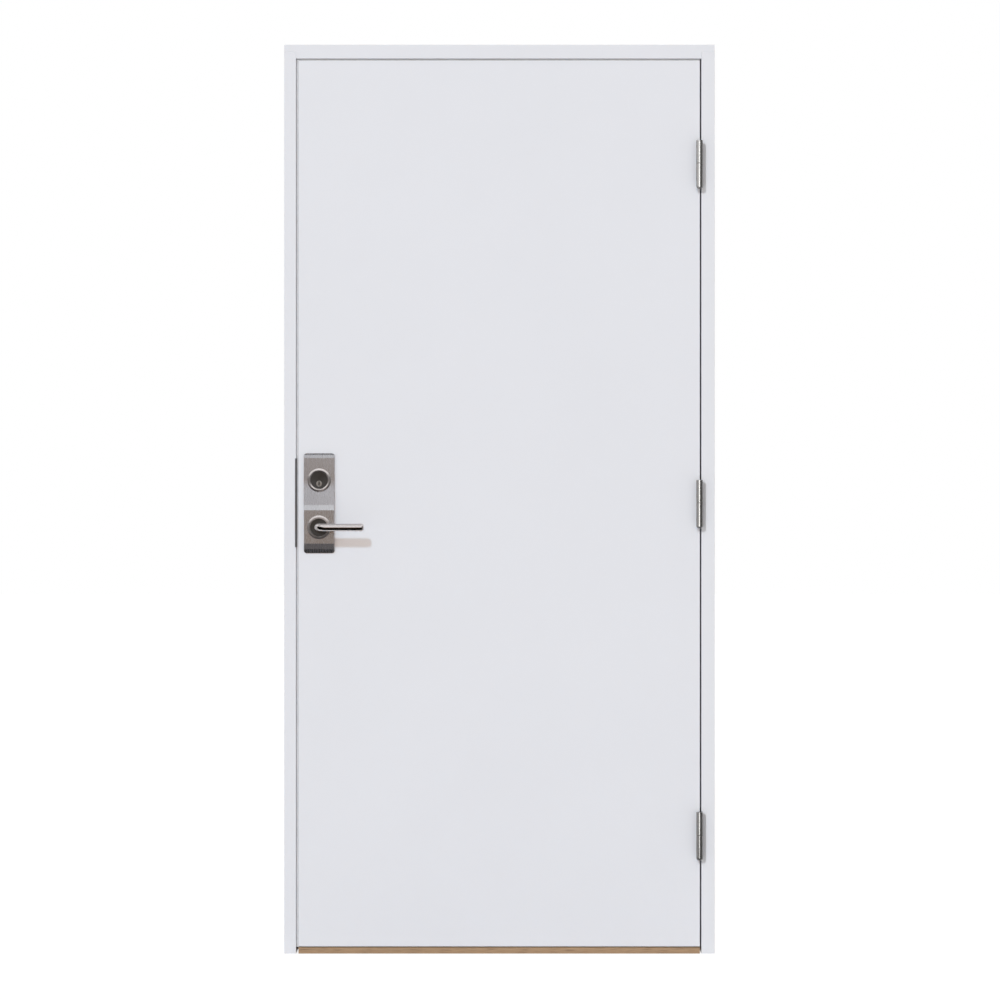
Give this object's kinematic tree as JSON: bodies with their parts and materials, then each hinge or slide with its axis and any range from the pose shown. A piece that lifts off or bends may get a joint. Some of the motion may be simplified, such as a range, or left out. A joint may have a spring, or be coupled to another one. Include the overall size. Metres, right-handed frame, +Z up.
{
  "type": "apartment entrance door",
  "caption": "Flush white apartment entrance door in a rebated timber frame on an oak threshold, hung on lift-off hinges, with a steel lock plate, key cylinder and lever handle.",
  "frame": {"origin": "middle of the threshold's underside, on the floor, half-way through the frame's depth", "axes": "+X along the wall, to the right as seen from the landing, +Y into the apartment, +Z up"},
  "size_m": [0.99, 0.1796, 2.09],
  "materials": {
    "frame_paint": "smooth white paint on timber, low sheen",
    "threshold_oak": "clear-varnished oak",
    "seal_rubber": "light grey sealing strip",
    "strike_steel": "dark plated steel",
    "cap_plastic": "white cover caps",
    "hinge_steel": "plated steel",
    "leaf_paint": "smooth white paint on board, low sheen",
    "core_board": "raw board, hidden",
    "lock_steel": "plated steel",
    "plate_steel": "brushed, warm grey",
    "ring_steel": "turned, bright",
    "guard_steel": "dark dished disc",
    "lever_steel": "satin",
    "plug_nickel": "nickel-plated"
  },
  "bodies": {
    "frame": {"hinge_jamb": "frame_paint", "lock_jamb": "frame_paint", "head": "frame_paint", "threshold": "threshold_oak", "seal_head": "seal_rubber", "seal_hinge_jamb": "seal_rubber", "seal_lock_jamb": "seal_rubber", "seal_threshold": "seal_rubber", "strike_plate": "strike_steel", "fixing_caps": "cap_plastic", "hinge_bottom_frame_half": "hinge_steel", "hinge_middle_frame_half": "hinge_steel", "hinge_top_frame_half": "hinge_steel", "hinge_bottom_pin": "hinge_steel", "hinge_middle_pin": "hinge_steel", "hinge_top_pin": "hinge_steel"},
    "leaf": {"leaf_front_skin": "leaf_paint", "leaf_back_skin": "leaf_paint", "leaf_lock_stile": "leaf_paint", "leaf_hinge_stile": "leaf_paint", "leaf_top_rail": "leaf_paint", "leaf_bottom_rail": "leaf_paint", "leaf_core": "core_board", "leaf_edge_seal": "seal_rubber", "lock_case": "lock_steel", "latch_bolt": "lock_steel", "dead_bolt": "lock_steel", "outside_plate": "plate_steel", "cylinder_ring": "ring_steel", "cylinder_guard": "guard_steel", "lock_cylinder": "lock_steel", "handle_ring": "ring_steel", "handle_bearing": "guard_steel", "inside_plate": "plate_steel", "inside_handle_ring": "ring_steel", "inside_handle_bearing": "guard_steel", "thumb_turn_ring": "ring_steel", "thumb_turn": "lever_steel", "hinge_bottom_leaf_half": "hinge_steel", "hinge_middle_leaf_half": "hinge_steel", "hinge_top_leaf_half": "hinge_steel"},
    "lever": {"outside_lever": "lever_steel", "inside_lever": "lever_steel", "spindle": "lock_steel"},
    "plug": {"key_plug": "plug_nickel"}
  },
  "joints": [
    {"name": "door_swing", "type": "hinge", "parent": "frame", "child": "leaf", "pos_m": [0.4593, -0.0585, 1.035], "axis": [0, 0, 1], "range_deg": [0, 170]},
    {"name": "lever_turn", "type": "hinge", "parent": "leaf", "child": "lever", "pos_m": [-0.414, -0.021, 0.9805], "axis": [0, 1, 0], "range_deg": [0, 45], "stiffness_Nm_per_rad": 1.5, "springref_deg": -28.65},
    {"name": "key_turn", "type": "hinge", "parent": "leaf", "child": "plug", "pos_m": [-0.414, -0.034, 1.0805], "axis": [0, 1, 0], "continuous": true}
  ]
}
